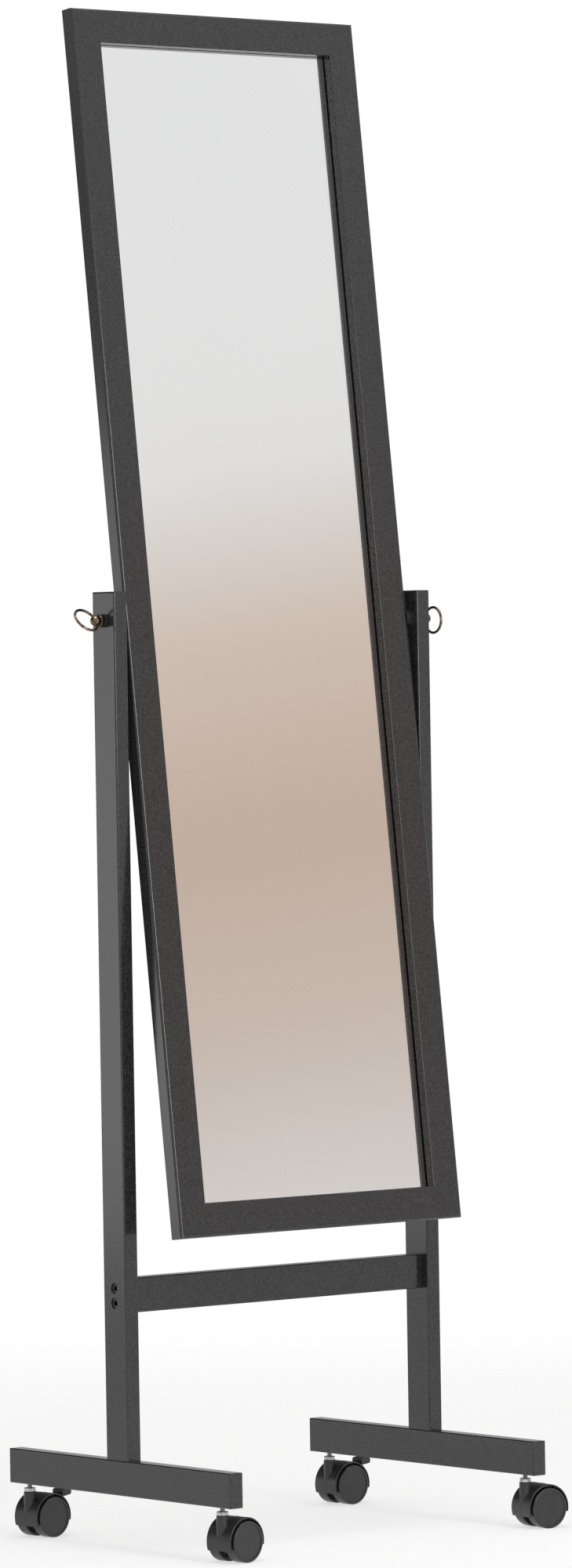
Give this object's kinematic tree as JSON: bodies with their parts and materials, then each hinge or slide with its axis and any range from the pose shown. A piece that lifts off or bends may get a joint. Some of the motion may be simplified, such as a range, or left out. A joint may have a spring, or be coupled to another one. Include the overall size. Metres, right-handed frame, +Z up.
{
  "type": "rolling floor mirror",
  "caption": "Full-length framed mirror that tilts between two posts on foot rails with swivel castors, braked at the rear.",
  "frame": {"origin": "on the floor, midway between the two posts, below the tilt pivot", "axes": "+Z up, the mirror faces -Y, +X across the front towards the right of someone facing it"},
  "size_m": [0.4773, 0.3452, 1.4963],
  "materials": {
    "satin_black_paint": "satin black paint",
    "zinc_steel": "bright zinc",
    "black_zinc_steel": "black zinc",
    "black_nylon": "moulded, fine grain",
    "black_rubber": "matt",
    "antique_brass": "antiqued",
    "silvered_glass": "silvered behind",
    "fibreboard": "raw board",
    "beech": "raw"
  },
  "bodies": {
    "stand": {"left_post": "satin_black_paint", "right_post": "satin_black_paint", "crossbar": "satin_black_paint", "left_foot_rail": "satin_black_paint", "right_foot_rail": "satin_black_paint", "left_post_screws": "zinc_steel", "right_post_screws": "zinc_steel", "left_crossbar_bolts": "black_zinc_steel", "right_crossbar_bolts": "black_zinc_steel", "left_barrel_nuts": "zinc_steel", "right_barrel_nuts": "zinc_steel", "left_stem_inserts": "zinc_steel", "right_stem_inserts": "zinc_steel", "left_friction_washer": "black_rubber", "right_friction_washer": "black_rubber", "left_rear_castor_stem": "zinc_steel", "left_front_castor_stem": "zinc_steel", "right_rear_castor_stem": "zinc_steel", "right_front_castor_stem": "zinc_steel"},
    "mirror": {"frame_left_stile": "satin_black_paint", "frame_right_stile": "satin_black_paint", "frame_top_rail": "satin_black_paint", "frame_bottom_rail": "satin_black_paint", "frame_corner_dowels": "beech", "mirror_glass": "silvered_glass", "backing_board": "fibreboard", "backing_clips": "zinc_steel", "clip_screws": "zinc_steel", "left_pivot_insert": "zinc_steel", "right_pivot_insert": "zinc_steel", "left_pivot_spacer": "black_nylon", "right_pivot_spacer": "black_nylon"},
    "left_thumbscrew": {"left_thumbscrew": "antique_brass"},
    "left_ring": {"left_ring": "antique_brass"},
    "right_thumbscrew": {"right_thumbscrew": "antique_brass"},
    "right_ring": {"right_ring": "antique_brass"},
    "left_rear_castor": {"left_rear_castor_housing": "black_nylon", "left_rear_castor_axle": "zinc_steel"},
    "left_rear_wheel_1": {"left_rear_wheel_1": "black_nylon"},
    "left_rear_wheel_2": {"left_rear_wheel_2": "black_nylon"},
    "left_rear_brake_lever": {"left_rear_brake_lever": "black_nylon"},
    "left_front_castor": {"left_front_castor_housing": "black_nylon", "left_front_castor_axle": "zinc_steel"},
    "left_front_wheel_1": {"left_front_wheel_1": "black_nylon"},
    "left_front_wheel_2": {"left_front_wheel_2": "black_nylon"},
    "right_rear_castor": {"right_rear_castor_housing": "black_nylon", "right_rear_castor_axle": "zinc_steel"},
    "right_rear_wheel_1": {"right_rear_wheel_1": "black_nylon"},
    "right_rear_wheel_2": {"right_rear_wheel_2": "black_nylon"},
    "right_rear_brake_lever": {"right_rear_brake_lever": "black_nylon"},
    "right_front_castor": {"right_front_castor_housing": "black_nylon", "right_front_castor_axle": "zinc_steel"},
    "right_front_wheel_1": {"right_front_wheel_1": "black_nylon"},
    "right_front_wheel_2": {"right_front_wheel_2": "black_nylon"}
  },
  "joints": [
    {"name": "mirror_tilt", "type": "hinge", "parent": "stand", "child": "mirror", "pos_m": [0, 0, 0.8997], "axis": [1, 0, 0], "continuous": true},
    {"name": "left_thumbscrew_turn", "type": "hinge", "parent": "mirror", "child": "left_thumbscrew", "pos_m": [-0.2095, 0, 0.8997], "axis": [-1, 0, 0], "range_deg": [0, 360]},
    {"name": "left_ring_swing", "type": "hinge", "parent": "left_thumbscrew", "child": "left_ring", "pos_m": [-0.2095, 0, 0.8997], "axis": [0, 0.6428, 0.766], "range_deg": [-110, 98]},
    {"name": "right_thumbscrew_turn", "type": "hinge", "parent": "mirror", "child": "right_thumbscrew", "pos_m": [0.2095, 0, 0.8997], "axis": [1, 0, 0], "range_deg": [0, 360]},
    {"name": "right_ring_swing", "type": "hinge", "parent": "right_thumbscrew", "child": "right_ring", "pos_m": [0.2095, 0, 0.8997], "axis": [0, -0.1564, 0.9877], "range_deg": [-12, 196]},
    {"name": "left_rear_castor_swivel", "type": "hinge", "parent": "stand", "child": "left_rear_castor", "pos_m": [-0.192, 0.1505, 0.0455], "axis": [0, 0, 1], "continuous": true},
    {"name": "left_rear_wheel_1_spin", "type": "hinge", "parent": "left_rear_castor", "child": "left_rear_wheel_1", "pos_m": [-0.17509, 0.15228, 0.02], "axis": [-0.1045, 0.9945, 0], "continuous": true},
    {"name": "left_rear_wheel_2_spin", "type": "hinge", "parent": "left_rear_castor", "child": "left_rear_wheel_2", "pos_m": [-0.17509, 0.15228, 0.02], "axis": [-0.1045, 0.9945, 0], "continuous": true},
    {"name": "left_rear_brake", "type": "hinge", "parent": "left_rear_castor", "child": "left_rear_brake_lever", "pos_m": [-0.16454, 0.15339, 0.03061], "axis": [-0.1045, 0.9945, 0], "range_deg": [0, 16]},
    {"name": "left_front_castor_swivel", "type": "hinge", "parent": "stand", "child": "left_front_castor", "pos_m": [-0.192, -0.1505, 0.0455], "axis": [0, 0, 1], "continuous": true},
    {"name": "left_front_wheel_1_spin", "type": "hinge", "parent": "left_front_castor", "child": "left_front_wheel_1", "pos_m": [-0.17513, -0.14843, 0.02], "axis": [-0.1219, 0.9925, 0], "continuous": true},
    {"name": "left_front_wheel_2_spin", "type": "hinge", "parent": "left_front_castor", "child": "left_front_wheel_2", "pos_m": [-0.17513, -0.14843, 0.02], "axis": [-0.1219, 0.9925, 0], "continuous": true},
    {"name": "right_rear_castor_swivel", "type": "hinge", "parent": "stand", "child": "right_rear_castor", "pos_m": [0.192, 0.1505, 0.0455], "axis": [0, 0, 1], "continuous": true},
    {"name": "right_rear_wheel_1_spin", "type": "hinge", "parent": "right_rear_castor", "child": "right_rear_wheel_1", "pos_m": [0.20899, 0.15109, 0.02], "axis": [-0.0349, 0.9994, 0], "continuous": true},
    {"name": "right_rear_wheel_2_spin", "type": "hinge", "parent": "right_rear_castor", "child": "right_rear_wheel_2", "pos_m": [0.20899, 0.15109, 0.02], "axis": [-0.0349, 0.9994, 0], "continuous": true},
    {"name": "right_rear_brake", "type": "hinge", "parent": "right_rear_castor", "child": "right_rear_brake_lever", "pos_m": [0.21959, 0.15146, 0.03061], "axis": [-0.0349, 0.9994, 0], "range_deg": [0, 16]},
    {"name": "right_front_castor_swivel", "type": "hinge", "parent": "stand", "child": "right_front_castor", "pos_m": [0.192, -0.1505, 0.0455], "axis": [0, 0, 1], "continuous": true},
    {"name": "right_front_wheel_1_spin", "type": "hinge", "parent": "right_front_castor", "child": "right_front_wheel_1", "pos_m": [0.20887, -0.15257, 0.02], "axis": [0.1219, 0.9925, 0], "continuous": true},
    {"name": "right_front_wheel_2_spin", "type": "hinge", "parent": "right_front_castor", "child": "right_front_wheel_2", "pos_m": [0.20887, -0.15257, 0.02], "axis": [0.1219, 0.9925, 0], "continuous": true}
  ]
}
